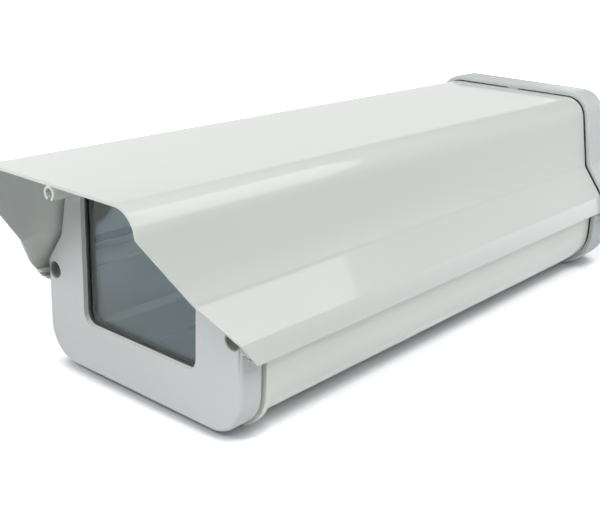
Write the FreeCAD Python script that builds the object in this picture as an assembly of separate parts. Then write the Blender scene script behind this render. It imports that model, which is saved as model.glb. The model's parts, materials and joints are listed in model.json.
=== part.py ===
"""Outdoor security camera housing: extruded cover and tray body, drawer-type front, rear cap with glands.

Millimetres. X is right as seen from the front, Y runs from front to rear, Z is up from the ground.
Lengthwise places are measured from the bezel's front face, and every piece is centred as it is saved.
"""
import FreeCAD, Part
import math
import os

V = FreeCAD.Vector
ALONG = V(0, 1, 0)
UP = V(0, 0, 1)

# Lower body, an extruded trough: its right half
BODY_HALF_WIDTH = 66.8
BODY_BOTTOM_Z = 2.8
BODY_CORNER_RADIUS = 22.0
BODY_WALL = 2.5
BODY_LENGTH = 312.4

# Cover, one extrusion: steps of its outline from the lip up to the roof
LIP_Z = 41.7
LIP_OVERHANG = 7.2
LIP_HEIGHT = 10.7
LIP_LEAN = 2.0
WING_SPREAD = 13.0
WING_RISE = 17.4
SIDE_LEAN = 7.8
SIDE_HEIGHT = 42.9
SHOULDER_RADIUS = 13.0
BEND_RADIUS = 5.0
RIDGE_RADIUS = 1.2
COVER_WALL = 1.4
VISOR_LENGTH = 44.0
VISOR_DROP = 12.0
VISOR_CUT_SLOPE = 1.3

# Tongue and groove between cover and body
RIB_THICKNESS = 1.6
GROOVE_HEIGHT = 2.5
TONGUE_CLEARANCE = 0.25
TONGUE_END_CLEARANCE = 0.4
RIB_TO_BODY_GAP = 1.7
SEAL_SPACE = 1.5
SEAL_CLEARANCE = 0.3

# Screw ports of both extrusions
PORT_OUTER_RADIUS = 4.2
PORT_BORE_RADIUS = 2.15
UPPER_PORT_INSET = 6.4
UPPER_PORT_RISE = 7.3
LOWER_PORT_OVERLAP = 0.7
CHANNEL_OUTER_RADIUS = 3.2
CHANNEL_SLOT_WIDTH = 2.4
CHANNEL_CLEARANCE = 0.5

# Front: bezel, gasket and the frame on the body's front end
BEZEL_DEPTH = 12.8
BEZEL_WALL = 2.6
BEZEL_SIDE_INSET = 1.0
BEZEL_GAP = 2.7
BEZEL_SHOULDER_TRIM = 1.6
BEZEL_SHOULDER_RADIUS = 11.0
BEZEL_CORNER_RADIUS = 18.0
BEZEL_FLARE_RADIUS = 3.0
BEZEL_EDGE_RADIUS = 1.8
FRONT_GASKET_THICKNESS = 1.6
GASKET_INSET = 0.9
FRAME_THICKNESS = 3.2
FRAME_PROUD = 0.6
FRAME_NEST_GAP = 0.4
OPENING_MARGIN = 0.8
OPENING_SILL = 5.3
OPENING_DROP = 14.3
SEAL_BAND = 7.0
OPENING_RADIUS = 6.0

# Window
WINDOW_SIDE_MARGIN = 28.3
WINDOW_SILL = 24.6
WINDOW_DROP = 18.3
WINDOW_RADIUS = 6.0
GLASS_OVERLAP = 4.0
GLASS_CLEARANCE = 0.4
GLASS_THICKNESS = 3.0
WINDOW_GASKET_THICKNESS = 1.6
WINDOW_GASKET_SHOWN = 0.3
WINDOW_SURROUND_WALL = 1.8
RETAINER_THICKNESS = 1.6
RETAINER_LUG_RADIUS = 2.6
RETAINER_SCREW_RADIUS = 1.1
LOW_LUG_SHARE = 0.16
HIGH_LUG_SHARE = 0.66
BOTTOM_LUG_SHARE = 0.52

# Tray that slides in the body's rails
TRAY_SHEET = 2.0
TRAY_SIDE_MARGIN = 18.8
TRAY_RISE = 15.6
TRAY_LENGTH = 290.0
TRAY_FLANGE_SIDE_STEP = 6.0
TRAY_FLANGE_MARGIN = 0.8
TRAY_SCREW_INSET = 12.0
TRAY_BOSS_RADIUS = 3.2
TRAY_SCREW_RADIUS = 1.5
TRAY_SLOT_WIDTH = 7.0
TRAY_SLOT_FRONT = 60.0
TRAY_SLOT_LENGTH = 150.0
BEAD_X = 15.1
BEAD_WIDTH = 4.2
BEAD_HEIGHT = 1.2
RAIL_CLEARANCE = 0.3
RAIL_SIDE_CLEARANCE = 0.4
RAIL_RIB = 1.8
RAIL_WEB = 2.0
RAIL_REACH = 3.0

# Camera mount that slides along the tray
RISER_CENTRE_Y = 120.0
RISER_LENGTH = 50.0
RISER_HEIGHT = 8.0
RISER_CLEARANCE = 0.5
RISER_EDGE = 1.5
STUD_RADIUS = 3.175
STUD_CLEARANCE = 0.1
STUD_LENGTH = 6.5
STUD_RUNOUT = 0.4
STUD_NECK_RADIUS = 2.4
WASHER_THICKNESS = 1.0
WASHER_RADIUS = 7.5
KNOB_RADIUS = 9.5
KNOB_HEIGHT = 5.2
KNOB_FLUTES = 12
KNOB_FLUTE_RADIUS = 1.6
KNOB_FLUTE_DEPTH = 1.0
RUNNING_GAP = 0.1

# Wiring board at the tray's rear end
BOARD_HALF_WIDTH = 35.0
BOARD_LENGTH = 44.0
BOARD_THICKNESS = 1.6
BOARD_REAR_MARGIN = 18.0
BOARD_HOLE_INSET = 5.0
SPACER_HEIGHT = 6.0
SPACER_RADIUS = 3.0
BOARD_SCREW_RADIUS = 1.5
TERMINAL_WAYS = 8
TERMINAL_PITCH = 6.0
TERMINAL_DEPTH = 12.0
TERMINAL_HEIGHT = 12.0
TERMINAL_SCREW_RADIUS = 1.5
TERMINAL_ENTRY_SIZE = 3.2
TERMINAL_ENTRY_RISE = 1.8
TERMINAL_WELL = 4.8
TERMINAL_SINK = 1.2
TERMINAL_CHAMFER = 3.0
TERMINAL_CHAMFER_DROP = 4.8

# Bracket plate inside the floor
PLATE_HALF_WIDTH = 36.0
PLATE_LENGTH = 100.0
PLATE_THICKNESS = 4.0
PLATE_CENTRE_Y = 165.0
PLATE_CORNER_RADIUS = 4.0
BRACKET_SPACING_X = 50.0
BRACKET_SPACING_Y = 70.0
BRACKET_HOLE_RADIUS = 3.3

# Rear: gasket, cap, cable gland and blanking plug
REAR_GASKET_THICKNESS = 1.5
REAR_GASKET_INSET = 0.6
CAP_DEPTH = 26.0
CAP_PROUD = 3.4
CAP_WALL = 3.0
CAP_EDGE_RADIUS = 6.0
CAP_RIM_BEVEL = 0.7
CAP_BOSS_WALL = 1.8
CAP_SCREW_SEAT = 8.0
GLAND_X = 22.0
GLAND_Z = 28.4
GLAND_THREAD_RADIUS = 8.0
GLAND_FIT = 0.1
GLAND_ACROSS_FLATS = 20.0
GLAND_WASHER_THICKNESS = 1.0
GLAND_THREAD_INSIDE = 5.0
GLAND_COLLAR = 5.5
GLAND_NECK = 8.0
GLAND_NECK_RADIUS = 7.4
GLAND_BORE_RADIUS = 4.6
CABLE_BORE_RADIUS = 3.3
SEAL_RADIUS = 5.9
SEAL_LENGTH = 9.0
NUT_LENGTH = 14.0
NUT_MOUTH_RADIUS = 4.2
NUT_HEX_LENGTH = 8.5
NUT_BEVEL = 3.5
LOCKNUT_THICKNESS = 4.0
PLUG_HEAD = 4.5
PLUG_DOME = 1.8

# Machine screws of the housing
SCREW_RADIUS = 2.0
SCREW_CLEARANCE = 0.25
SCREW_HEAD_RADIUS = 3.6
SCREW_HEAD_HEIGHT = 2.6
SCREW_HOLD = 12.0
COUNTERBORE_RADIUS = 4.35
COUNTERBORE_DEPTH = 9.0
SCREW_WASHER_THICKNESS = 0.8
SLEEVE_WALL = 0.4
SLEEVE_INSET = 0.6
SMALL_HEAD_RATIO = 1.8
HEAD_BEVEL_SHARE = 0.3
FLAT_HEAD_HEIGHT = 2.0

# Worked-out places of the section
LIP_X = BODY_HALF_WIDTH + LIP_OVERHANG
RIDGE_X, RIDGE_Z = LIP_X - LIP_LEAN, LIP_Z + LIP_HEIGHT
BEND_X, BEND_Z = RIDGE_X - WING_SPREAD, RIDGE_Z + WING_RISE
SHOULDER_X, COVER_TOP_Z = BEND_X - SIDE_LEAN, BEND_Z + SIDE_HEIGHT
FLOOR_Z = BODY_BOTTOM_Z + BODY_WALL
BODY_INNER_X = BODY_HALF_WIDTH - BODY_WALL
CHANNEL_Z = COVER_TOP_Z - COVER_WALL - CHANNEL_OUTER_RADIUS
UPPER_PORT = (BODY_HALF_WIDTH - UPPER_PORT_INSET, LIP_Z + UPPER_PORT_RISE)
TRAY_HALF_WIDTH = BODY_HALF_WIDTH - TRAY_SIDE_MARGIN
TRAY_TOP_Z = BODY_BOTTOM_Z + TRAY_RISE
TRAY_BOTTOM_Z = TRAY_TOP_Z - TRAY_SHEET
TRAY_FLANGE_HALF_WIDTH = TRAY_HALF_WIDTH - TRAY_FLANGE_SIDE_STEP
TRAY_SCREW_X = TRAY_FLANGE_HALF_WIDTH - TRAY_SCREW_INSET
WINDOW_HALF_WIDTH = BODY_HALF_WIDTH - WINDOW_SIDE_MARGIN
WINDOW_BOTTOM_Z = BODY_BOTTOM_Z + WINDOW_SILL
WINDOW_HEIGHT = COVER_TOP_Z - WINDOW_DROP - WINDOW_BOTTOM_Z

# Worked-out places along the housing
FRAME_FRONT_Y = BEZEL_DEPTH + FRONT_GASKET_THICKNESS
BODY_FRONT_Y = FRAME_FRONT_Y + FRAME_THICKNESS
BODY_REAR_Y = BODY_FRONT_Y + BODY_LENGTH
CAP_FRONT_Y = BODY_REAR_Y + REAR_GASKET_THICKNESS
CAP_REAR_Y = CAP_FRONT_Y + CAP_DEPTH
GLAND_COLLAR_Y = CAP_REAR_Y + GLAND_WASHER_THICKNESS
NUT_FRONT_Y = GLAND_COLLAR_Y + GLAND_COLLAR + RUNNING_GAP
NUT_REAR_Y = NUT_FRONT_Y + NUT_LENGTH
CENTRE_Y = (NUT_REAR_Y - VISOR_LENGTH) / 2


def offset_chain(chain, distance):
    """Move a half outline inwards by a distance, or outwards by a negative one, with its arcs concentric."""
    normals = []
    for (xa, za, _), (xb, zb, _) in zip(chain[:-1], chain[1:]):
        length = math.hypot(xb - xa, zb - za)
        normals.append(((zb - za) / length, (xa - xb) / length))
    moved = []
    for index, (x, z, radius) in enumerate(chain):
        before = normals[max(index - 1, 0)]
        after = normals[min(index, len(normals) - 1)]
        share = distance / (1 + before[0] * after[0] + before[1] * after[1])
        convex = before[0] * after[1] - before[1] * after[0] < 0
        new_radius = max(radius - distance if convex else radius + distance, 0) if radius else 0
        moved.append((x + share * (before[0] + after[0]), z + share * (before[1] + after[1]), new_radius))
    return moved


def corner_arc(before, corner, after, radius):
    """Start, middle and end of the arc that rounds one corner."""
    to_before = (before - corner).normalize()
    to_after = (after - corner).normalize()
    half_angle = to_before.getAngle(to_after) / 2
    middle_line = (to_before + to_after).normalize()
    reach = radius / math.tan(half_angle)
    centre = corner + middle_line * (radius / math.sin(half_angle))
    return corner + to_before * reach, centre - middle_line * radius, corner + to_after * reach


def rounded_face(points, radii):
    """Flat face inside a closed row of corners, each rounded by its own radius."""
    stops = []
    for index, corner in enumerate(points):
        before, after = points[index - 1], points[(index + 1) % len(points)]
        rounded = radii[index] > 0
        stops.append(corner_arc(before, corner, after, radii[index]) if rounded else (corner,))
    edges = []
    for index, stop in enumerate(stops):
        if len(stop) == 3:
            edges.append(Part.Arc(*stop).toShape())
        start, end = stop[-1], stops[(index + 1) % len(stops)][0]
        if (end - start).Length > 1e-6:
            edges.append(Part.LineSegment(start, end).toShape())
    return Part.Face(Part.Wire(edges))


def prism(chain, front, rear):
    """Solid of a half outline and its mirror image, from one lengthwise place to another."""
    left = [(-x, z, radius) for x, z, radius in reversed(chain) if x > 1e-6]
    right = [point for point in chain if point[0] > 1e-6]
    corners = [V(x, front, z) for x, z, _ in right + left]
    radii = [radius for _, _, radius in right + left]
    return rounded_face(corners, radii).extrude(ALONG * (rear - front))


def side_prism(points, x_from, x_to):
    """Solid of a shape drawn in the side view, as (y, z) corners, across the housing."""
    corners = [V(x_from, y, z) for y, z in points]
    return rounded_face(corners, [0] * len(corners)).extrude(V(x_to - x_from, 0, 0))


def slab(x_from, x_to, y_from, y_to, z_from, z_to):
    return Part.makeBox(x_to - x_from, y_to - y_from, z_to - z_from, V(x_from, y_from, z_from))


def rounded_slab(half_width, y_from, y_to, z_from, z_to, radius, x=0.0):
    """Upright plate across the housing with rounded corners."""
    corners = [V(x - half_width, y_from, z_from), V(x + half_width, y_from, z_from),
               V(x + half_width, y_from, z_to), V(x - half_width, y_from, z_to)]
    return rounded_face(corners, [radius] * 4).extrude(ALONG * (y_to - y_from))


def flat_plate(half_width, y_from, y_to, z_from, z_to, radius):
    """Level plate with rounded corners."""
    corners = [V(-half_width, y_from, z_from), V(half_width, y_from, z_from),
               V(half_width, y_to, z_from), V(-half_width, y_to, z_from)]
    return rounded_face(corners, [radius] * 4).extrude(UP * (z_to - z_from))


def rod(radius, x, z, y_from, y_to):
    """Round bar along the housing."""
    return Part.makeCylinder(radius, y_to - y_from, V(x, y_from, z), ALONG)


def post(radius, x, y, z_from, z_to):
    """Round upright bar."""
    return Part.makeCylinder(radius, z_to - z_from, V(x, y, z_from), UP)


def hexagon(across_flats, x, z, y_from, y_to):
    """Six-sided bar along the housing."""
    reach = across_flats / math.sqrt(3)
    angles = [math.radians(60 * k) for k in range(6)]
    corners = [V(x + reach * math.cos(angle), y_from, z + reach * math.sin(angle)) for angle in angles]
    return rounded_face(corners, [0] * 6).extrude(ALONG * (y_to - y_from))


def both_sides(shape):
    """A shape and its mirror image across the middle of the housing."""
    return [shape, shape.mirror(V(0, 0, 0), V(1, 0, 0))]


def cover_chain():
    """Right half of the cover's outline, from the middle of the roof to the lip: (x, z, radius)."""
    return [(0, COVER_TOP_Z, 0), (SHOULDER_X, COVER_TOP_Z, SHOULDER_RADIUS), (BEND_X, BEND_Z, BEND_RADIUS),
            (RIDGE_X, RIDGE_Z, RIDGE_RADIUS), (LIP_X, LIP_Z, 0)]


def body_chain():
    """Right half of the trough's outline, from the level of the lip to the middle of the floor."""
    return [(BODY_HALF_WIDTH, LIP_Z, 0), (BODY_HALF_WIDTH, BODY_BOTTOM_Z, BODY_CORNER_RADIUS),
            (0, BODY_BOTTOM_Z, 0)]


def wing_z(x, inset):
    """Height of the wing's face at a place across, that far inside the cover's outer face."""
    slope = WING_RISE / WING_SPREAD
    return BEND_Z - (x - BEND_X) * slope - inset * math.hypot(WING_RISE, WING_SPREAD) / WING_SPREAD


def lip_inner_x(z):
    """Place across of the lip's inner face at a height."""
    slope = LIP_LEAN / LIP_HEIGHT
    return RIDGE_X + (RIDGE_Z - z) * slope - COVER_WALL * math.hypot(LIP_LEAN, LIP_HEIGHT) / LIP_HEIGHT


def lower_port():
    """Centre of the screw port that nests in the trough's lower corner."""
    inner_radius = BODY_CORNER_RADIUS - BODY_WALL
    reach = (inner_radius - PORT_OUTER_RADIUS + LOWER_PORT_OVERLAP) / math.sqrt(2)
    return (BODY_HALF_WIDTH - BODY_CORNER_RADIUS + reach, BODY_BOTTOM_Z + BODY_CORNER_RADIUS - reach)


def nested_chain(inset, half_width, bottom_z, corner_radius, flare_radius=0.0):
    """Half outline of a plate that nests in the cover and follows the trough below it."""
    shoulder, bend = offset_chain(cover_chain(), inset)[1:3]
    return [(0, shoulder[1], 0), shoulder, bend, (half_width, wing_z(half_width, inset), flare_radius),
            (half_width, bottom_z, corner_radius), (0, bottom_z, 0)]


def frame_chain():
    half_width = BODY_HALF_WIDTH + FRAME_PROUD
    return nested_chain(COVER_WALL + FRAME_NEST_GAP, half_width, 0, BODY_CORNER_RADIUS)


def bezel_chain():
    half_width = BODY_HALF_WIDTH - BEZEL_SIDE_INSET
    chain = nested_chain(COVER_WALL + BEZEL_GAP, half_width, BODY_BOTTOM_Z, BEZEL_CORNER_RADIUS,
                         BEZEL_FLARE_RADIUS)
    shoulder_x, shoulder_z, _ = chain[1]
    chain[1] = (shoulder_x - BEZEL_SHOULDER_TRIM, shoulder_z, BEZEL_SHOULDER_RADIUS)
    return chain


def housing_chain():
    """Right half of the whole section's outline, cover and trough together."""
    return cover_chain() + body_chain()


def cap_chain():
    """The section's outline grown by the cap's overhang, with its underside on the ground."""
    chain = offset_chain(housing_chain(), -CAP_PROUD)
    corner_x, _, corner_radius = chain[-2]
    return chain[:-2] + [(corner_x, 0, corner_radius), (0, 0, 0)]


def service_opening(y_from, y_to):
    """Rounded opening that the drawer passes through, the same in the frame and both gaskets."""
    door = rounded_slab(TRAY_HALF_WIDTH + OPENING_MARGIN, y_from, y_to, BODY_BOTTOM_Z + OPENING_SILL,
                        COVER_TOP_Z - OPENING_DROP, OPENING_RADIUS)
    shoulder, bend = offset_chain(bezel_chain(), SEAL_BAND)[1:3]
    beyond = (2 * bend[0] - shoulder[0], 2 * bend[1] - shoulder[1], 0)
    leaning = [(0, shoulder[1], 0), shoulder, beyond, (beyond[0], 0, 0), (0, 0, 0)]
    return door.common(prism(leaning, y_from, y_to))


def window_slab(growth, y_from, y_to, radius):
    """Rounded plate or hole centred on the window, larger than it by the growth on every side."""
    return rounded_slab(WINDOW_HALF_WIDTH + growth, y_from, y_to, WINDOW_BOTTOM_Z - growth,
                        WINDOW_BOTTOM_Z + WINDOW_HEIGHT + growth, radius)


def channel_notch(y_from, y_to, growth=0.0):
    """Slot in the top of a nested plate that clears the cover's screw channel."""
    half_width = CHANNEL_OUTER_RADIUS + CHANNEL_CLEARANCE + growth
    floor_z = CHANNEL_Z - CHANNEL_OUTER_RADIUS - CHANNEL_CLEARANCE - growth
    return slab(-half_width, half_width, y_from, y_to, floor_z, COVER_TOP_Z)


def cover():
    """Roof, sides and wings in one extrusion, its front sawn to a visor."""
    front, rear = -VISOR_LENGTH, BODY_REAR_Y
    inner = offset_chain(cover_chain(), COVER_WALL)
    (xa, za, _), (xb, zb, _) = inner[-2:]
    beyond = (xb + (xb - xa), zb + (zb - za), 0)
    shell = prism(cover_chain(), front, rear).cut(prism(inner[:-1] + [beyond], front, rear))
    rib_x = BODY_HALF_WIDTH + RIB_TO_BODY_GAP
    for rib_z in (LIP_Z, LIP_Z + RIB_THICKNESS + GROOVE_HEIGHT):
        root_x = lip_inner_x(rib_z + RIB_THICKNESS) + COVER_WALL / 2
        shell = shell.fuse(both_sides(slab(rib_x, root_x, front, rear, rib_z, rib_z + RIB_THICKNESS)))
    channel = rod(CHANNEL_OUTER_RADIUS, 0, CHANNEL_Z, front, rear)
    root = slab(-CHANNEL_SLOT_WIDTH / 2, CHANNEL_SLOT_WIDTH / 2, front, rear,
                CHANNEL_Z + CHANNEL_OUTER_RADIUS / 2, COVER_TOP_Z - COVER_WALL / 2)
    slot = slab(-CHANNEL_SLOT_WIDTH / 2, CHANNEL_SLOT_WIDTH / 2, front, rear,
                CHANNEL_Z - CHANNEL_OUTER_RADIUS - 1, CHANNEL_Z)
    bore = rod(PORT_BORE_RADIUS, 0, CHANNEL_Z, front, rear)
    shell = shell.fuse([channel, root]).cut([slot, bore])
    cut_top_z = COVER_TOP_Z - VISOR_DROP
    cut_bottom_z = LIP_Z - 5
    cut_bottom_y = front + (cut_top_z - cut_bottom_z) / VISOR_CUT_SLOPE
    saw_cut = side_prism([(front - 5, cut_top_z), (front, cut_top_z), (cut_bottom_y, cut_bottom_z),
                          (front - 5, cut_bottom_z)], -LIP_X - 5, LIP_X + 5)
    return shell.cut(saw_cut).removeSplitter()


def lower_body():
    """Trough with tongues for the cover, four screw ports and the rails for the tray."""
    front, rear = BODY_FRONT_Y, BODY_REAR_Y
    top_z = wing_z(BODY_HALF_WIDTH, COVER_WALL) - SEAL_SPACE
    outer = [(0, top_z, 0), (BODY_HALF_WIDTH, top_z, 0)] + body_chain()[1:]
    hollow = offset_chain(body_chain(), BODY_WALL)
    hollow[0] = (BODY_INNER_X, top_z + 1, 0)
    body = prism(outer, front, rear).cut(prism(hollow, front, rear))
    tongue_z = LIP_Z + RIB_THICKNESS + TONGUE_CLEARANCE
    tongue_top_z = LIP_Z + RIB_THICKNESS + GROOVE_HEIGHT - TONGUE_CLEARANCE
    tongue_end_x = lip_inner_x(tongue_top_z) - TONGUE_END_CLEARANCE
    wall_middle_x = BODY_HALF_WIDTH - BODY_WALL / 2
    pieces = both_sides(slab(wall_middle_x, tongue_end_x, front, rear, tongue_z, tongue_top_z))
    web_x = TRAY_HALF_WIDTH + RAIL_SIDE_CLEARANCE
    lower_rib_z = TRAY_BOTTOM_Z - RAIL_CLEARANCE
    upper_rib_z = TRAY_TOP_Z + RAIL_CLEARANCE
    trough = prism(outer, front, rear)
    web = slab(web_x, web_x + RAIL_WEB, front, rear, BODY_BOTTOM_Z, upper_rib_z + RAIL_RIB).common(trough)
    pieces += both_sides(web)
    for rib_z in (lower_rib_z - RAIL_RIB, upper_rib_z):
        pieces += both_sides(slab(TRAY_HALF_WIDTH - RAIL_REACH, web_x + RAIL_WEB / 2, front, rear,
                                  rib_z, rib_z + RAIL_RIB))
    bores = []
    for x, z in (UPPER_PORT, lower_port()):
        pieces += both_sides(rod(PORT_OUTER_RADIUS, x, z, front, rear))
        bores += both_sides(rod(PORT_BORE_RADIUS, x, z, front, rear))
    upper_x, upper_z = UPPER_PORT
    pieces += both_sides(slab(upper_x, wall_middle_x, front, rear,
                              upper_z - RIB_THICKNESS / 2, upper_z + RIB_THICKNESS / 2))
    bores += [post(BRACKET_HOLE_RADIUS, x, y, 0, FLOOR_Z + 1) for x, y in bracket_holes()]
    bores += [flat_screw_space(x, y) for x, y in plate_screw_places()]
    return body.fuse(pieces).cut(bores).removeSplitter()


def bracket_holes():
    return [(x * BRACKET_SPACING_X / 2, PLATE_CENTRE_Y + y * BRACKET_SPACING_Y / 2)
            for x in (-1, 1) for y in (-1, 1)]


def plate_screw_places():
    return [(0, PLATE_CENTRE_Y + end * BRACKET_SPACING_Y / 2) for end in (-1, 1)]


def flat_screw_space(x, y):
    """Countersunk hole through the floor and the bracket plate, with room for its screw."""
    radius = SCREW_RADIUS + SCREW_CLEARANCE
    head = Part.makeCone(SCREW_HEAD_RADIUS + SCREW_CLEARANCE, radius, FLAT_HEAD_HEIGHT,
                         V(x, y, BODY_BOTTOM_Z), UP)
    return head.fuse(post(radius, x, y, BODY_BOTTOM_Z, FLOOR_Z + PLATE_THICKNESS))


def bracket_plate():
    """Plate on the floor whose four threaded holes take the wall bracket's screws."""
    y_from = PLATE_CENTRE_Y - PLATE_LENGTH / 2
    plate = flat_plate(PLATE_HALF_WIDTH, y_from, y_from + PLATE_LENGTH, FLOOR_Z, FLOOR_Z + PLATE_THICKNESS,
                       PLATE_CORNER_RADIUS)
    holes = [post(BRACKET_HOLE_RADIUS, x, y, FLOOR_Z, FLOOR_Z + PLATE_THICKNESS) for x, y in bracket_holes()]
    holes += [flat_screw_space(x, y) for x, y in plate_screw_places()]
    return plate.cut(holes)


def bracket_plate_screws():
    """Two countersunk screws, flush with the underside."""
    screws = []
    for x, y in plate_screw_places():
        head = Part.makeCone(SCREW_HEAD_RADIUS, SCREW_RADIUS, FLAT_HEAD_HEIGHT, V(x, y, BODY_BOTTOM_Z), UP)
        screws.append(head.fuse(post(SCREW_RADIUS, x, y, BODY_BOTTOM_Z, FLOOR_Z + PLATE_THICKNESS)))
    return Part.makeCompound(screws)


def side_seal(side):
    """Rubber strip on the edge of the trough, under the cover's wing."""
    floor_z = wing_z(BODY_HALF_WIDTH, COVER_WALL) - SEAL_SPACE
    inset = COVER_WALL + SEAL_CLEARANCE
    corners = [(BODY_INNER_X, floor_z), (BODY_HALF_WIDTH, floor_z),
               (BODY_HALF_WIDTH, wing_z(BODY_HALF_WIDTH, inset)), (BODY_INNER_X, wing_z(BODY_INNER_X, inset))]
    face = rounded_face([V(side * x, BODY_FRONT_Y, z) for x, z in corners], [0] * 4)
    return face.extrude(ALONG * BODY_LENGTH)


def front_frame():
    """Flat frame screwed to the front of the body, which the drawer's gasket closes against."""
    front, rear = FRAME_FRONT_Y, BODY_FRONT_Y
    frame = prism(frame_chain(), front, rear).cut([service_opening(front, rear), channel_notch(front, rear)])
    holes = both_sides(rod(SCREW_RADIUS + 2 * SCREW_CLEARANCE, *UPPER_PORT, front, rear))
    x, z = lower_port()
    radius = SCREW_RADIUS + SCREW_CLEARANCE
    sink = Part.makeCone(SCREW_HEAD_RADIUS + SCREW_CLEARANCE, radius, FLAT_HEAD_HEIGHT, V(x, front, z), ALONG)
    holes += both_sides(sink.fuse(rod(radius, x, z, front, rear)))
    return frame.cut(holes)


def front_frame_screws():
    """Two countersunk screws into the body's lower ports."""
    x, z = lower_port()
    head = Part.makeCone(SCREW_HEAD_RADIUS, SCREW_RADIUS, FLAT_HEAD_HEIGHT, V(x, FRAME_FRONT_Y, z), ALONG)
    return Part.makeCompound(both_sides(head.fuse(
        rod(SCREW_RADIUS, x, z, FRAME_FRONT_Y, BODY_FRONT_Y + SCREW_HOLD))))


def retainer_screw_places():
    """Six screws round the glass: three on the right half, mirrored by the caller."""
    side_x = WINDOW_HALF_WIDTH + GLASS_OVERLAP + WINDOW_SURROUND_WALL + RETAINER_LUG_RADIUS
    below_z = WINDOW_BOTTOM_Z - GLASS_OVERLAP - WINDOW_SURROUND_WALL - RETAINER_LUG_RADIUS
    return [(side_x, WINDOW_BOTTOM_Z + WINDOW_HEIGHT * LOW_LUG_SHARE),
            (side_x, WINDOW_BOTTOM_Z + WINDOW_HEIGHT * HIGH_LUG_SHARE),
            (WINDOW_HALF_WIDTH * BOTTOM_LUG_SHARE, below_z)]


def tray_screw_z():
    """Height of the tray's front screws: the middle of its turned-down flange."""
    return (BODY_BOTTOM_Z + OPENING_SILL + TRAY_FLANGE_MARGIN + TRAY_BOTTOM_Z) / 2


def front_bezel():
    """Moulded front of the drawer: shell, window surround, deep screw pockets and bosses."""
    back = BEZEL_DEPTH
    shell = prism(bezel_chain(), 0, back)
    front_edges = [edge for edge in shell.Edges if edge.BoundBox.YMax < 1e-6]
    shell = shell.makeFillet(BEZEL_EDGE_RADIUS, front_edges)
    glass_back = BEZEL_WALL + WINDOW_GASKET_THICKNESS + GLASS_THICKNESS
    rebate = GLASS_OVERLAP + GLASS_CLEARANCE
    hollow = prism(offset_chain(bezel_chain(), BEZEL_WALL), BEZEL_WALL, back)
    kept = [window_slab(rebate + WINDOW_SURROUND_WALL, BEZEL_WALL, glass_back, WINDOW_RADIUS),
            channel_notch(BEZEL_WALL, back, WINDOW_SURROUND_WALL)]
    kept += both_sides(rod(COUNTERBORE_RADIUS + CAP_BOSS_WALL, *UPPER_PORT, BEZEL_WALL, back))
    kept += both_sides(rod(TRAY_BOSS_RADIUS, TRAY_SCREW_X, tray_screw_z(), BEZEL_WALL, back))
    bores = both_sides(rod(TRAY_SCREW_RADIUS, TRAY_SCREW_X, tray_screw_z(), BEZEL_WALL * 2, back))
    for x, z in retainer_screw_places():
        kept += both_sides(rod(RETAINER_LUG_RADIUS, x, z, BEZEL_WALL, glass_back))
        bores += both_sides(rod(RETAINER_SCREW_RADIUS, x, z, BEZEL_WALL * 2, glass_back))
    bores += both_sides(rod(COUNTERBORE_RADIUS, *UPPER_PORT, 0, COUNTERBORE_DEPTH))
    bores += both_sides(rod(SCREW_RADIUS + SCREW_CLEARANCE, *UPPER_PORT, 0, back))
    bores += [window_slab(0, 0, BEZEL_WALL, WINDOW_RADIUS), channel_notch(0, back),
              window_slab(rebate, BEZEL_WALL, back, WINDOW_RADIUS / 2)]
    return shell.cut(hollow.cut(kept)).cut(bores).removeSplitter()


def front_gasket():
    """Flat rubber gasket on the back of the bezel, set in a little from its edge."""
    front, rear = BEZEL_DEPTH, FRAME_FRONT_Y
    sheet = prism(offset_chain(bezel_chain(), GASKET_INSET), front, rear)
    holes = both_sides(rod(SCREW_RADIUS + 2 * SCREW_CLEARANCE, *UPPER_PORT, front, rear))
    return sheet.cut([service_opening(front, rear), channel_notch(front, rear)] + holes)


def window_gasket():
    """Rubber ring between the bezel's rebate and the glass, its inner edge in view."""
    front = BEZEL_WALL
    rear = front + WINDOW_GASKET_THICKNESS
    ring = window_slab(GLASS_OVERLAP, front, rear, WINDOW_RADIUS / 2)
    return ring.cut(window_slab(-WINDOW_GASKET_SHOWN, front, rear, WINDOW_RADIUS - WINDOW_GASKET_SHOWN))


def window_glass():
    front = BEZEL_WALL + WINDOW_GASKET_THICKNESS
    return window_slab(GLASS_OVERLAP, front, front + GLASS_THICKNESS, WINDOW_RADIUS / 2)


def window_retainer():
    """Sheet frame with six lugs that holds the glass in its rebate."""
    front = BEZEL_WALL + WINDOW_GASKET_THICKNESS + GLASS_THICKNESS
    rear = front + RETAINER_THICKNESS
    outer = window_slab(GLASS_OVERLAP + GLASS_CLEARANCE + WINDOW_SURROUND_WALL, front, rear, WINDOW_RADIUS)
    lugs, holes = [], [window_slab(0, front, rear, WINDOW_RADIUS)]
    for x, z in retainer_screw_places():
        lugs += both_sides(rod(RETAINER_LUG_RADIUS, x, z, front, rear))
        holes += both_sides(rod(RETAINER_SCREW_RADIUS, x, z, front, rear))
    return outer.fuse(lugs).cut(holes).removeSplitter()


def retainer_screws():
    """Six small pan-head screws through the retainer's lugs."""
    seat = BEZEL_WALL + WINDOW_GASKET_THICKNESS + GLASS_THICKNESS + RETAINER_THICKNESS
    head_radius = RETAINER_SCREW_RADIUS * SMALL_HEAD_RATIO
    screws = []
    for x, z in retainer_screw_places():
        head = rod(head_radius, x, z, seat, seat + RETAINER_SCREW_RADIUS)
        screws += both_sides(head.fuse(rod(RETAINER_SCREW_RADIUS, x, z, BEZEL_WALL * 2, seat)))
    return Part.makeCompound(screws)


def pan_head(radius, height, x, z, seat, facing):
    """Screw head with a bevelled rim, standing on its seat and facing the front (-1) or the rear (+1)."""
    head = Part.makeCylinder(radius, height, V(x, seat, z), ALONG * facing)
    crown = [edge for edge in head.Edges if abs(edge.BoundBox.Center.y - (seat + facing * height)) < 1e-6]
    return head.makeChamfer(height * HEAD_BEVEL_SHARE, crown)


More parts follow.
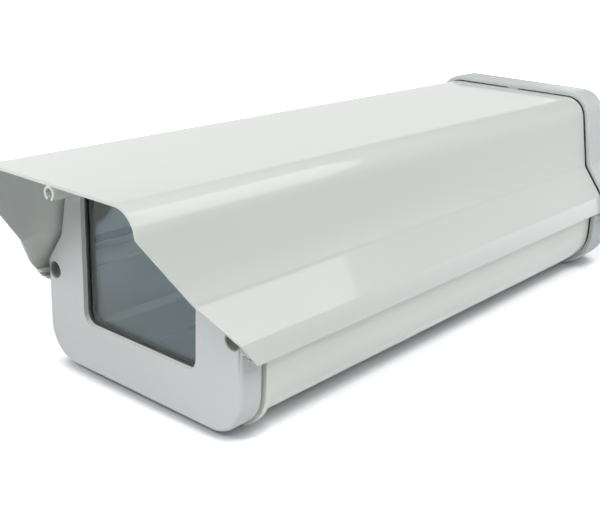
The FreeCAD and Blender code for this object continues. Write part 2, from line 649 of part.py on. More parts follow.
def drive_slot(radius, x, z, top, facing):
    """Cross cut into a screw head."""
    depth, half_width = radius * 0.3, radius * 0.12
    y_from, y_to = sorted((top, top - facing * depth))
    wide = slab(x - radius * 0.6, x + radius * 0.6, y_from, y_to, z - half_width, z + half_width)
    tall = slab(x - half_width, x + half_width, y_from, y_to, z - radius * 0.6, z + radius * 0.6)
    return wide.fuse(tall)


def bezel_screws():
    """Two captive screws deep in the bezel, which lock the drawer to the body's upper ports."""
    x, z = UPPER_PORT
    seat = COUNTERBORE_DEPTH - SCREW_WASHER_THICKNESS
    head = pan_head(SCREW_HEAD_RADIUS, SCREW_HEAD_HEIGHT, x, z, seat, -1)
    head = head.cut(drive_slot(SCREW_HEAD_RADIUS, x, z, seat - SCREW_HEAD_HEIGHT, -1))
    shank = rod(SCREW_RADIUS, x, z, seat, BODY_FRONT_Y + SCREW_HOLD)
    return Part.makeCompound(both_sides(head.fuse(shank)))


def bezel_screw_washers():
    x, z = UPPER_PORT
    y_from, y_to = COUNTERBORE_DEPTH - SCREW_WASHER_THICKNESS, COUNTERBORE_DEPTH
    washer = rod(SCREW_HEAD_RADIUS + SCREW_CLEARANCE, x, z, y_from, y_to).cut(
        rod(SCREW_RADIUS + RUNNING_GAP, x, z, y_from, y_to))
    return Part.makeCompound(both_sides(washer))


def bezel_screw_sleeves():
    """Dark rubber liners of the bezel's screw pockets, which keep the captive screws from rattling."""
    x, z = UPPER_PORT
    tube = rod(COUNTERBORE_RADIUS, x, z, SLEEVE_INSET, COUNTERBORE_DEPTH)
    return Part.makeCompound(both_sides(tube.cut(
        rod(COUNTERBORE_RADIUS - SLEEVE_WALL, x, z, SLEEVE_INSET, COUNTERBORE_DEPTH))))


def camera_tray():
    """Folded sheet with a turned-down front flange, two pressed beads and a long slot."""
    front, rear = BEZEL_DEPTH, BEZEL_DEPTH + TRAY_LENGTH
    flange_z = BODY_BOTTOM_Z + OPENING_SILL + TRAY_FLANGE_MARGIN
    tray = slab(-TRAY_HALF_WIDTH, TRAY_HALF_WIDTH, front, rear, TRAY_BOTTOM_Z, TRAY_TOP_Z)
    flange = rounded_slab(TRAY_FLANGE_HALF_WIDTH, front, front + TRAY_SHEET, flange_z, TRAY_TOP_Z, TRAY_SHEET)
    beads, grooves = [], []
    for sign in (-1, 1):
        x = sign * BEAD_X
        beads.append(slab(x - BEAD_WIDTH / 2, x + BEAD_WIDTH / 2, front + TRAY_SHEET, rear,
                          TRAY_TOP_Z, TRAY_TOP_Z + BEAD_HEIGHT))
        inner = BEAD_WIDTH / 2 - BEAD_HEIGHT / 2
        grooves.append(slab(x - inner, x + inner, front + 2 * TRAY_SHEET, rear,
                            TRAY_BOTTOM_Z, TRAY_BOTTOM_Z + BEAD_HEIGHT))
    slot = flat_plate(TRAY_SLOT_WIDTH / 2, TRAY_SLOT_FRONT, TRAY_SLOT_FRONT + TRAY_SLOT_LENGTH,
                      TRAY_BOTTOM_Z, TRAY_TOP_Z, TRAY_SLOT_WIDTH / 2 - 0.01)
    holes = both_sides(rod(TRAY_SCREW_RADIUS, TRAY_SCREW_X, tray_screw_z(), front, front + TRAY_SHEET))
    holes += [post(BOARD_SCREW_RADIUS, x, y, TRAY_BOTTOM_Z, TRAY_TOP_Z) for x, y in board_holes()]
    return tray.fuse([flange] + beads).cut(grooves + [slot] + holes).removeSplitter()


def tray_screws():
    """Two screws through the tray's flange into the bezel's bosses."""
    x, z = TRAY_SCREW_X, tray_screw_z()
    seat = BEZEL_DEPTH + TRAY_SHEET
    head = pan_head(TRAY_SCREW_RADIUS * SMALL_HEAD_RATIO, TRAY_SCREW_RADIUS, x, z, seat, 1)
    return Part.makeCompound(both_sides(head.fuse(rod(TRAY_SCREW_RADIUS, x, z, BEZEL_WALL * 2, seat))))


def camera_riser():
    """Insulating block that carries the camera, guided between the tray's beads."""
    half_width = BEAD_X - BEAD_WIDTH / 2 - RISER_CLEARANCE
    y_from = RISER_CENTRE_Y - RISER_LENGTH / 2
    bottom_z = TRAY_TOP_Z + RUNNING_GAP
    top_z = bottom_z + RISER_HEIGHT
    block = flat_plate(half_width, y_from, y_from + RISER_LENGTH, bottom_z, top_z, RISER_EDGE * 2)
    top_edges = [edge for edge in block.Edges if edge.BoundBox.ZMin > top_z - 1e-6]
    block = block.makeChamfer(RISER_EDGE / 2, top_edges)
    return block.cut(post(STUD_RADIUS + STUD_CLEARANCE, 0, RISER_CENTRE_Y, bottom_z, top_z))


def camera_screw():
    """Knurled thumb screw from under the tray, its stud on a thin neck, standing above the riser."""
    head_top_z = TRAY_BOTTOM_Z - RUNNING_GAP - WASHER_THICKNESS
    head = post(KNOB_RADIUS, 0, RISER_CENTRE_Y, head_top_z - KNOB_HEIGHT, head_top_z)
    flute_ring = KNOB_RADIUS + KNOB_FLUTE_RADIUS - KNOB_FLUTE_DEPTH
    flutes = []
    for k in range(KNOB_FLUTES):
        angle = 2 * math.pi * k / KNOB_FLUTES
        x = flute_ring * math.cos(angle)
        y = RISER_CENTRE_Y + flute_ring * math.sin(angle)
        flutes.append(post(KNOB_FLUTE_RADIUS, x, y, head_top_z - KNOB_HEIGHT, head_top_z))
    thread_z = TRAY_TOP_Z + RUNNING_GAP + RISER_HEIGHT + STUD_RUNOUT
    neck = post(STUD_NECK_RADIUS, 0, RISER_CENTRE_Y, head_top_z, thread_z)
    thread = post(STUD_RADIUS, 0, RISER_CENTRE_Y, thread_z, thread_z + STUD_LENGTH)
    return head.cut(flutes).fuse([neck, thread]).removeSplitter()


def camera_screw_washer():
    top_z = TRAY_BOTTOM_Z - RUNNING_GAP
    disc = post(WASHER_RADIUS, 0, RISER_CENTRE_Y, top_z - WASHER_THICKNESS, top_z)
    return disc.cut(post(STUD_RADIUS, 0, RISER_CENTRE_Y, top_z - WASHER_THICKNESS, top_z))


def board_rear_y():
    return BEZEL_DEPTH + TRAY_LENGTH - BOARD_REAR_MARGIN


def board_holes():
    x = BOARD_HALF_WIDTH - BOARD_HOLE_INSET
    rear = board_rear_y()
    return [(side * x, y) for side in (-1, 1)
            for y in (rear - BOARD_LENGTH + BOARD_HOLE_INSET, rear - BOARD_HOLE_INSET)]


def board_spacers():
    """Four round spacers between the tray and the wiring board."""
    tubes = []
    for x, y in board_holes():
        tube = post(SPACER_RADIUS, x, y, TRAY_TOP_Z, TRAY_TOP_Z + SPACER_HEIGHT)
        tubes.append(tube.cut(post(BOARD_SCREW_RADIUS, x, y, TRAY_TOP_Z, TRAY_TOP_Z + SPACER_HEIGHT)))
    return Part.makeCompound(tubes)


def wiring_board():
    bottom_z = TRAY_TOP_Z + SPACER_HEIGHT
    rear = board_rear_y()
    board = flat_plate(BOARD_HALF_WIDTH, rear - BOARD_LENGTH, rear, bottom_z, bottom_z + BOARD_THICKNESS, 2.0)
    return board.cut([post(BOARD_SCREW_RADIUS, x, y, bottom_z, bottom_z + BOARD_THICKNESS)
                      for x, y in board_holes()])


def board_screws():
    """Four screws down through the board and its spacers into the tray."""
    seat_z = TRAY_TOP_Z + SPACER_HEIGHT + BOARD_THICKNESS
    screws = []
    for x, y in board_holes():
        head = post(BOARD_SCREW_RADIUS * SMALL_HEAD_RATIO, x, y, seat_z, seat_z + BOARD_SCREW_RADIUS)
        screws.append(head.fuse(post(BOARD_SCREW_RADIUS, x, y, TRAY_BOTTOM_Z, seat_z)))
    return Part.makeCompound(screws)


def terminal_block():
    """Screw terminal strip on the board, with an entry and a screw well for each way."""
    half_width = TERMINAL_WAYS * TERMINAL_PITCH / 2
    bottom_z = TRAY_TOP_Z + SPACER_HEIGHT + BOARD_THICKNESS
    top_z = bottom_z + TERMINAL_HEIGHT
    middle_y = board_rear_y() - BOARD_LENGTH / 2
    y_from, y_to = middle_y - TERMINAL_DEPTH / 2, middle_y + TERMINAL_DEPTH / 2
    outline = [(y_from, bottom_z), (y_to, bottom_z), (y_to, top_z - TERMINAL_CHAMFER_DROP),
               (y_to - TERMINAL_CHAMFER, top_z), (y_from + TERMINAL_CHAMFER, top_z),
               (y_from, top_z - TERMINAL_CHAMFER_DROP)]
    block = side_prism(outline, -half_width, half_width)
    cuts = []
    for way in range(TERMINAL_WAYS):
        x = (way + 0.5) * TERMINAL_PITCH - half_width
        cuts.append(post(TERMINAL_SCREW_RADIUS + RUNNING_GAP, x, middle_y, top_z - TERMINAL_WELL, top_z))
        half_entry = TERMINAL_ENTRY_SIZE / 2
        entry_z = bottom_z + TERMINAL_ENTRY_RISE
        cuts.append(slab(x - half_entry, x + half_entry, y_to - TERMINAL_ENTRY_SIZE, y_to,
                         entry_z, entry_z + TERMINAL_ENTRY_SIZE))
    return block.cut(cuts)


def terminal_screws():
    """Clamp screws, sunk a little in their wells."""
    half_width = TERMINAL_WAYS * TERMINAL_PITCH / 2
    top_z = TRAY_TOP_Z + SPACER_HEIGHT + BOARD_THICKNESS + TERMINAL_HEIGHT
    middle_y = board_rear_y() - BOARD_LENGTH / 2
    screws = []
    for way in range(TERMINAL_WAYS):
        x = (way + 0.5) * TERMINAL_PITCH - half_width
        screws.append(post(TERMINAL_SCREW_RADIUS, x, middle_y, top_z - TERMINAL_WELL, top_z - TERMINAL_SINK))
    return Part.makeCompound(screws)


def cap_screw_places():
    """The right-hand screw ports, and the roof channel in the middle."""
    return [UPPER_PORT, lower_port()], (0, CHANNEL_Z)


def rear_gasket():
    """Flat rubber gasket between the section's rear end and the cap."""
    front, rear = BODY_REAR_Y, CAP_FRONT_Y
    sheet = prism(offset_chain(housing_chain(), REAR_GASKET_INSET), front, rear)
    side_places, top_place = cap_screw_places()
    radius = SCREW_RADIUS + SCREW_CLEARANCE
    holes = [service_opening(front, rear), rod(radius, *top_place, front, rear)]
    for x, z in side_places:
        holes += both_sides(rod(radius, x, z, front, rear))
    return sheet.cut(holes)


def rear_cap():
    """Moulded cap over the whole section, with screw bosses, a gland hole and a spare hole."""
    front, rear = CAP_FRONT_Y, CAP_REAR_Y
    cap = prism(cap_chain(), front, rear)
    rear_edges = [edge for edge in cap.Edges if edge.BoundBox.YMin > rear - 1e-6]
    cap = cap.makeFillet(CAP_EDGE_RADIUS, rear_edges)
    rim_edges = [edge for edge in cap.Edges if edge.BoundBox.YMax < front + 1e-6]
    cap = cap.makeChamfer(CAP_RIM_BEVEL, rim_edges)
    hollow = prism(offset_chain(cap_chain(), CAP_WALL), front, rear - CAP_WALL)
    side_places, top_place = cap_screw_places()
    bosses = [rod(COUNTERBORE_RADIUS + CAP_BOSS_WALL, *top_place, front, rear)]
    bores = screw_pocket(*top_place)
    for x, z in side_places:
        bosses += both_sides(rod(COUNTERBORE_RADIUS + CAP_BOSS_WALL, x, z, front, rear))
        for cut in screw_pocket(x, z):
            bores += both_sides(cut)
    hole_radius = GLAND_THREAD_RADIUS + GLAND_FIT
    bores += both_sides(rod(hole_radius, GLAND_X, GLAND_Z, rear - CAP_WALL, rear))
    return cap.cut(hollow.cut(bosses)).cut(bores).removeSplitter()


def screw_pocket(x, z):
    """Deep pocket from the cap's rear face and the clearance hole in front of it."""
    seat = CAP_FRONT_Y + CAP_SCREW_SEAT
    return [rod(COUNTERBORE_RADIUS, x, z, seat, CAP_REAR_Y),
            rod(SCREW_RADIUS + SCREW_CLEARANCE, x, z, CAP_FRONT_Y, seat)]


def rear_cap_screws():
    """Five screws that hold the cap: two in each side's ports and one in the roof channel."""
    side_places, top_place = cap_screw_places()
    seat = CAP_FRONT_Y + CAP_SCREW_SEAT

    def screw(x, z):
        head = pan_head(SCREW_HEAD_RADIUS, SCREW_HEAD_HEIGHT, x, z, seat, 1)
        head = head.cut(drive_slot(SCREW_HEAD_RADIUS, x, z, seat + SCREW_HEAD_HEIGHT, 1))
        return head.fuse(rod(SCREW_RADIUS, x, z, BODY_REAR_Y - SCREW_HOLD, seat))

    screws = [screw(*top_place)]
    for x, z in side_places:
        screws += both_sides(screw(x, z))
    return Part.makeCompound(screws)


def gland_washer(x):
    """Flat sealing washer under a gland's or plug's collar."""
    disc = rod(GLAND_ACROSS_FLATS / 2, x, GLAND_Z, CAP_REAR_Y, GLAND_COLLAR_Y)
    return disc.cut(rod(GLAND_THREAD_RADIUS + GLAND_FIT, x, GLAND_Z, CAP_REAR_Y, GLAND_COLLAR_Y))


def locknut(x):
    """Six-sided nut inside the cap."""
    rear = CAP_REAR_Y - CAP_WALL
    nut = hexagon(GLAND_ACROSS_FLATS, x, GLAND_Z, rear - LOCKNUT_THICKNESS, rear)
    return nut.cut(rod(GLAND_THREAD_RADIUS + GLAND_FIT, x, GLAND_Z, rear - LOCKNUT_THICKNESS, rear))


def cable_gland_body():
    """Threaded tube through the cap with a six-sided collar and a neck for the dome nut."""
    x, z = -GLAND_X, GLAND_Z
    inner_end = CAP_REAR_Y - CAP_WALL - GLAND_THREAD_INSIDE
    collar_end = GLAND_COLLAR_Y + GLAND_COLLAR
    neck_end = collar_end + GLAND_NECK
    body = rod(GLAND_THREAD_RADIUS, x, z, inner_end, GLAND_COLLAR_Y)
    body = body.fuse([hexagon(GLAND_ACROSS_FLATS, x, z, GLAND_COLLAR_Y, collar_end),
                      rod(GLAND_NECK_RADIUS, x, z, collar_end, neck_end)])
    pocket = rod(SEAL_RADIUS + GLAND_FIT, x, z, neck_end - SEAL_LENGTH, neck_end)
    return body.cut([rod(GLAND_BORE_RADIUS, x, z, inner_end, neck_end), pocket])


def cable_gland_seal():
    """Rubber sleeve that grips the cable."""
    x, z = -GLAND_X, GLAND_Z
    neck_end = GLAND_COLLAR_Y + GLAND_COLLAR + GLAND_NECK
    sleeve = rod(SEAL_RADIUS, x, z, neck_end - SEAL_LENGTH, neck_end)
    return sleeve.cut(rod(CABLE_BORE_RADIUS, x, z, neck_end - SEAL_LENGTH, neck_end))


def cable_gland_nut():
    """Dome nut, six-sided at its root and rounded at its mouth."""
    x, z = -GLAND_X, GLAND_Z
    crown = rod(GLAND_ACROSS_FLATS / 2, x, z, NUT_FRONT_Y, NUT_REAR_Y)
    rear_edge = [edge for edge in crown.Edges if edge.BoundBox.YMin > NUT_REAR_Y - 1e-6]
    crown = crown.makeChamfer(NUT_BEVEL, rear_edge)
    nut = crown.fuse(hexagon(GLAND_ACROSS_FLATS, x, z, NUT_FRONT_Y, NUT_FRONT_Y + NUT_HEX_LENGTH))
    neck_room = rod(GLAND_NECK_RADIUS + GLAND_FIT, x, z, NUT_FRONT_Y,
                    GLAND_COLLAR_Y + GLAND_COLLAR + GLAND_NECK + GLAND_FIT)
    return nut.cut([neck_room, rod(NUT_MOUTH_RADIUS, x, z, NUT_FRONT_Y, NUT_REAR_Y)]).removeSplitter()


def blanking_plug():
    """Solid plug in the spare cable hole, with a six-sided rounded head."""
    x, z = GLAND_X, GLAND_Z
    thread = rod(GLAND_THREAD_RADIUS, x, z, CAP_REAR_Y - CAP_WALL - GLAND_THREAD_INSIDE, GLAND_COLLAR_Y)
    head = hexagon(GLAND_ACROSS_FLATS, x, z, GLAND_COLLAR_Y, GLAND_COLLAR_Y + PLUG_HEAD)
    dome = rod(GLAND_ACROSS_FLATS / 2, x, z, GLAND_COLLAR_Y, GLAND_COLLAR_Y + PLUG_HEAD + PLUG_DOME)
    rear_edge = [edge for edge in dome.Edges if edge.BoundBox.YMin > GLAND_COLLAR_Y + PLUG_HEAD]
    return thread.fuse([head, dome.makeChamfer(PLUG_DOME * 0.9, rear_edge)]).removeSplitter()


def housing_pieces():
    """Pieces that stay on the wall bracket, by name."""
    return {
        "cover": cover(),
        "lower_body": lower_body(),
        "side_seal_left": side_seal(-1),
        "side_seal_right": side_seal(1),
        "front_frame": front_frame(),
        "front_frame_screws": front_frame_screws(),
        "bracket_plate": bracket_plate(),
        "bracket_plate_screws": bracket_plate_screws(),
        "rear_gasket": rear_gasket(),
        "rear_cap": rear_cap(),
        "rear_cap_screws": rear_cap_screws(),
        "cable_gland_body": cable_gland_body(),
        "cable_gland_seal": cable_gland_seal(),
        "cable_gland_nut": cable_gland_nut(),
        "cable_gland_washer": gland_washer(-GLAND_X),
        "cable_gland_locknut": locknut(-GLAND_X),
        "blanking_plug": blanking_plug(),
        "blanking_plug_washer": gland_washer(GLAND_X),
        "blanking_plug_locknut": locknut(GLAND_X),
    }


def drawer_pieces():
    """Pieces that slide out with the bezel, the camera mount included, by name."""
    return {
        "front_bezel": front_bezel(),
        "front_gasket": front_gasket(),
        "window_gasket": window_gasket(),
        "window_glass": window_glass(),
        "window_retainer": window_retainer(),
        "retainer_screws": retainer_screws(),
        "bezel_screws": bezel_screws(),
        "bezel_screw_washers": bezel_screw_washers(),
        "bezel_screw_sleeves": bezel_screw_sleeves(),
        "camera_tray": camera_tray(),
        "tray_screws": tray_screws(),
        "board_spacers": board_spacers(),
        "wiring_board": wiring_board(),
        "board_screws": board_screws(),
        "terminal_block": terminal_block(),
        "terminal_screws": terminal_screws(),
        "camera_riser": camera_riser(),
        "camera_screw": camera_screw(),
        "camera_screw_washer": camera_screw_washer(),
    }


os.makedirs("parts", exist_ok=True)
for pieces in (housing_pieces(), drawer_pieces()):
    for name, shape in pieces.items():
        shape.translate(V(0, -CENTRE_Y, 0))
        shape.exportStep("parts/" + name + ".step")
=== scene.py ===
import bpy
import bmesh
import json
import math
from mathutils import Matrix, Vector


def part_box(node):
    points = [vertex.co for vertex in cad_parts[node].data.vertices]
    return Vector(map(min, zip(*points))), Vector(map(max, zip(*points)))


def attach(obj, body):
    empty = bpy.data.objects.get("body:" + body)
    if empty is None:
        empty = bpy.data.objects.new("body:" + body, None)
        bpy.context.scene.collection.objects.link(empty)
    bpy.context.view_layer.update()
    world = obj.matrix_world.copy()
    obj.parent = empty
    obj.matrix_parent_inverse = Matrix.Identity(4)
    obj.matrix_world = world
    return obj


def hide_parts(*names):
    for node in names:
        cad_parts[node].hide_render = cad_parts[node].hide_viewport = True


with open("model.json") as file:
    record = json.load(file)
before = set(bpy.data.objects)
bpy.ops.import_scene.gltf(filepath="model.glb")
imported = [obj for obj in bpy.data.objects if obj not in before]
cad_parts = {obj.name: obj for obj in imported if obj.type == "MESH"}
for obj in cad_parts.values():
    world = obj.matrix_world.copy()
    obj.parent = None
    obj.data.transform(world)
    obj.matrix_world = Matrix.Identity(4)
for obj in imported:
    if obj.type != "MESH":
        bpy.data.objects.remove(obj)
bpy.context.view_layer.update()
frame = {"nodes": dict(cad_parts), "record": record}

mm = 0.001
scene = bpy.context.scene
nodeSlots = {part["node"]: part["material_slot"] for part in frame["record"]["subparts"]}
nodeBodies = {node: body for body, nodes in frame["record"]["behaviour"]["bodies"].items() for node in nodes}
print("frame loaded,", len(frame["nodes"]), "pieces")

# the camera's place and turn were fitted to the photograph's outline
cameraView = {
    "place": (0.3186, -0.43465, 0.21505),
    "yaw": 39.84, "pitch": -19.34, "roll": 2.227,       # degrees
    "lens": 58.63, "sensor": 36.0, "clipStart": 0.01,
}


def turned(degrees, axis):
    return Matrix.Rotation(math.radians(degrees), 4, axis)


def placeCamera(view):
    data = bpy.data.cameras.new("viewCamera")
    data.lens, data.sensor_width, data.sensor_fit = view["lens"], view["sensor"], "HORIZONTAL"
    data.clip_start = view["clipStart"]
    camera = bpy.data.objects.new("viewCamera", data)
    scene.collection.objects.link(camera)
    turn = turned(view["yaw"], "Z") @ turned(90 + view["pitch"], "X") @ turned(view["roll"], "Z")
    camera.matrix_world = Matrix.Translation(view["place"]) @ turn
    scene.camera = camera


placeCamera(cameraView)
scene.view_settings.view_transform = "Standard"


# helpers for node trees
def addNode(tree, kind, **settings):
    node = tree.nodes.new("ShaderNode" + kind)
    for name, value in settings.items():
        setattr(node, name, value)
    return node


def setSockets(node, values):
    for socket, value in values.items():
        node.inputs[socket].default_value = value


def addMath(tree, operation, second=0.5, third=0.5):
    node = addNode(tree, "Math", operation=operation)
    setSockets(node, {1: second, 2: third})
    return node


def addColorMix(tree, under=(1, 1, 1), over=(1, 1, 1)):
    # socket 0 takes the share, 6 and 7 the colours, output 2 gives the mix, also brighter than 1
    node = addNode(tree, "Mix", data_type="RGBA", clamp_result=False)
    setSockets(node, {6: (*under, 1), 7: (*over, 1)})
    return node


def addSmoothStep(tree, low, high=1.0):
    node = addNode(tree, "MapRange", interpolation_type="SMOOTHSTEP")
    setSockets(node, {"From Min": low, "From Max": high})
    return node


backgroundRays = ("Is Camera Ray", "Is Glossy Ray", "Is Transmission Ray")      # what sees a white background


def rayMask(tree, kinds):
    # 1 for the given kinds of ray, 0 for the others
    path = addNode(tree, "LightPath")
    found = path.outputs[kinds[0]]
    for kind in kinds[1:]:
        either = addMath(tree, "MAXIMUM")
        tree.links.new(found, either.inputs[0])
        tree.links.new(path.outputs[kind], either.inputs[1])
        found = either.outputs[0]
    return found


# helpers for pieces
surfaceLook = {
    "merge": 0.002, "flatAngle": 0.4,           # millimetres and degrees: what counts as one point, one plane
    "softAngle": 28, "softSegments": 2,         # edges sharper than this are bevelled on the dressed solids
    "smoothAngle": 32,                          # edges sharper than this stay sharp on new pieces
}


def finishMesh(bm, name, smooth=None):
    mesh = bpy.data.meshes.new(name)
    bm.to_mesh(mesh)
    bm.free()
    piece = bpy.data.objects.new(name, mesh)
    scene.collection.objects.link(piece)
    if smooth is not None:
        mesh.shade_smooth()
        mesh.set_sharp_from_angle(angle=math.radians(smooth))
    return piece


def fitOut(piece, node, slot=None):
    # a piece that takes a node's place, on its body and in its material or another slot's
    slot = slot or nodeSlots[node]
    piece.data.materials.append(materials[slot])
    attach(piece, nodeBodies[node])
    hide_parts(node)


def mergedCopy(node):
    bm = bmesh.new()
    bm.from_mesh(frame["nodes"][node].data)
    bmesh.ops.remove_doubles(bm, verts=bm.verts, dist=surfaceLook["merge"] * mm)
    return bm


def softenEdges(piece, width):
    bevel = piece.modifiers.new("softEdges", "BEVEL")
    bevel.width, bevel.segments = width * mm, surfaceLook["softSegments"]
    bevel.limit_method, bevel.angle_limit = "ANGLE", math.radians(surfaceLook["softAngle"])
    bevel.harden_normals = True
    bevel.use_clamp_overlap = True


def dressCopy(node, edge, slot):
    bm = mergedCopy(node)
    bmesh.ops.dissolve_limit(bm, angle_limit=math.radians(surfaceLook["flatAngle"]), verts=bm.verts, edges=bm.edges)
    for layer in list(bm.loops.layers.uv):
        bm.loops.layers.uv.remove(layer)
    piece = finishMesh(bm, node + "Finished")
    if "custom_normal" in piece.data.attributes:
        piece.data.attributes.remove(piece.data.attributes["custom_normal"])
    piece.data.shade_smooth()
    softenEdges(piece, edge)
    fitOut(piece, node, slot)


def solidBoxes(node):
    # the low and high corner of each separate solid in a node
    bm = mergedCopy(node)
    waiting, boxes = set(bm.verts), []
    while waiting:
        found, reached = set(), [waiting.pop()]
        while reached:
            vert = reached.pop()
            found.add(vert)
            for link in vert.link_edges:
                other = link.other_vert(vert)
                if other in waiting:
                    waiting.discard(other)
                    reached.append(other)
        places = [vert.co for vert in found]
        boxes.append((Vector([min(p[k] for p in places) for k in range(3)]),
                      Vector([max(p[k] for p in places) for k in range(3)])))
    bm.free()
    return sorted(boxes, key=lambda box: tuple(box[0]))


# studio: white table with a painted contact shadow, faint even sky, soft boxes
studio = {
    "skyColor": (1.0, 1.0, 1.0), "skyLevel": 0.07,
    "ceilingColor": (0.56, 0.54, 0.50), "ceilingFrom": 0.24, "ceilingTo": 0.44,     # heights, in reflections only
    "floorSize": 8.0, "floorColor": (0.55, 0.55, 0.555),
    "floorMirrored": (1.62, 1.66, 1.76), "floorShown": (1.66, 1.69, 1.75),
    # painted contact shadow on the table: its colour, the occlusion's reach, where it starts, its samples
    "paintedShadowColor": (0.70, 0.72, 0.75), "contactReach": 0.009, "contactFrom": 0.40, "contactSamples": 12,
    "whiteFrom": 0.32, "whiteTo": 0.80,                 # the table turns to plain white between these distances
}
lamps = {   # soft boxes: place, size, what they face and how bright their face is
    "frontBox": {"place": (-0.05, -0.95, 0.90), "size": (0.6, 0.42), "glow": 9.1},
    "rightBox": {"place": (0.80, -0.18, 0.9), "size": (0.7, 0.7), "glow": 3.6},
    "rightLowBox": {"place": (1.1, -0.45, 0.35), "size": (0.7, 0.4), "glow": 0.5},
    "shoulderBox": {"place": (0.54, 0.86, 0.95), "size": (0.60, 1.0), "glow": 1.7, "aim": (0.06, 0.86, 0.08)},
    "leftBox": {"place": (-0.95, -0.05, 0.9), "size": (0.7, 0.6), "glow": 0.25},
    "leftLowBox": {"place": (-1.2, -0.06, 0.25), "size": (0.8, 0.4), "glow": 4.4},
    "rearLowBox": {"place": (-0.1, 1.3, 0.18), "size": (0.8, 0.3), "glow": 3.6},
}
lampAim = (0, 0, 0.06)      # where a lamp looks that names no aim


def makeSky(look):
    world = bpy.data.worlds.new("studioSky")
    scene.world = world
    world.use_nodes = True
    tree = world.node_tree
    tree.nodes.clear()
    link = tree.links.new
    lit, seen = addNode(tree, "Background"), addNode(tree, "Background")
    setSockets(lit, {"Color": (*look["skyColor"], 1), "Strength": look["skyLevel"]})
    setSockets(seen, {"Strength": 1.0})
    # reflections see a duller ceiling above the white walls
    direction, split = addNode(tree, "TexCoord"), addNode(tree, "SeparateXYZ")
    height = addSmoothStep(tree, look["ceilingFrom"], look["ceilingTo"])
    mirrored = addMath(tree, "MULTIPLY")
    backdrop = addColorMix(tree, over=look["ceilingColor"])
    link(direction.outputs["Generated"], split.inputs[0])
    link(split.outputs["Z"], height.inputs["Value"])
    link(height.outputs["Result"], mirrored.inputs[0])
    link(rayMask(tree, ("Is Glossy Ray",)), mirrored.inputs[1])
    link(mirrored.outputs[0], backdrop.inputs[0])
    link(backdrop.outputs[2], seen.inputs["Color"])
    mix, out = addNode(tree, "MixShader"), addNode(tree, "OutputWorld")
    link(rayMask(tree, backgroundRays), mix.inputs[0])
    link(lit.outputs[0], mix.inputs[1])
    link(seen.outputs[0], mix.inputs[2])
    link(mix.outputs[0], out.inputs["Surface"])


def makeLamp(name, look):
    data = bpy.data.lights.new(name, "AREA")
    data.shape, data.size, data.size_y = "RECTANGLE", *look["size"]
    data.energy = look["glow"] * math.pi * look["size"][0] * look["size"][1]
    lamp = bpy.data.objects.new(name, data)
    scene.collection.objects.link(lamp)
    place = Vector(look["place"])
    lamp.matrix_world = facingPlace(place, place - Vector(look.get("aim", lampAim)))


def makeTable(look):
    bm = bmesh.new()
    bmesh.ops.create_grid(bm, x_segments=1, y_segments=1, size=look["floorSize"] / 2)
    table = finishMesh(bm, "table")
    material = bpy.data.materials.new("tableWhite")
    material.use_nodes = True
    tree = material.node_tree
    tree.nodes.clear()
    link = tree.links.new
    seen = rayMask(tree, backgroundRays)
    color = addColorMix(tree, look["floorColor"], look["floorMirrored"])
    link(seen, color.inputs[0])
    # painted contact shadow: the camera sees the table darker where the object stands close, by ambient occlusion
    near = addNode(tree, "AmbientOcclusion", samples=look["contactSamples"])
    setSockets(near, {"Distance": look["contactReach"]})
    contact = addSmoothStep(tree, look["contactFrom"])
    shade = addColorMix(tree, look["paintedShadowColor"], look["floorShown"])
    direct = addColorMix(tree)
    matt = addNode(tree, "BsdfDiffuse")
    link(near.outputs["AO"], contact.inputs["Value"])
    link(contact.outputs["Result"], shade.inputs[0])
    link(rayMask(tree, ("Is Camera Ray",)), direct.inputs[0])
    link(color.outputs[2], direct.inputs[6])
    link(shade.outputs[2], direct.inputs[7])
    link(direct.outputs[2], matt.inputs["Color"])
    # further away it glows up to plain white
    place, away = addNode(tree, "TexCoord"), addNode(tree, "VectorMath", operation="LENGTH")
    fade = addSmoothStep(tree, look["whiteFrom"], look["whiteTo"])
    shown, glow = addMath(tree, "MULTIPLY"), addNode(tree, "Emission")
    add, out = addNode(tree, "AddShader"), addNode(tree, "OutputMaterial")
    link(place.outputs["Object"], away.inputs[0])
    link(away.outputs["Value"], fade.inputs["Value"])
    link(fade.outputs["Result"], shown.inputs[0])
    link(seen, shown.inputs[1])
    link(shown.outputs[0], glow.inputs["Strength"])
    link(matt.outputs[0], add.inputs[0])
    link(glow.outputs[0], add.inputs[1])
    link(add.outputs[0], out.inputs["Surface"])
    table.data.materials.append(material)


# surface effects shared by the materials
driftLook = {
    "toneNoise": (3.0, 0.5), "glossNoise": (5.0, 0.6),      # detail and roughness of the noise
    "glossScale": 3.7, "swing": 4.0,
}
grainLook = {"noise": (2.0, 0.45)}


def newGroup(name, inputs, outputs):
    group = bpy.data.node_groups.new(name, "ShaderNodeTree")
    for label, kind, value in inputs:
        group.interface.new_socket(name=label, in_out="INPUT", socket_type=kind).default_value = value
    for label, kind in outputs:
        group.interface.new_socket(name=label, in_out="OUTPUT", socket_type=kind)
    return group, group.nodes.new("NodeGroupInput"), group.nodes.new("NodeGroupOutput")


def addNoise(tree, detail, rough):
    noise = addNode(tree, "TexNoise")
    setSockets(noise, {"Detail": detail, "Roughness": rough})
    return noise


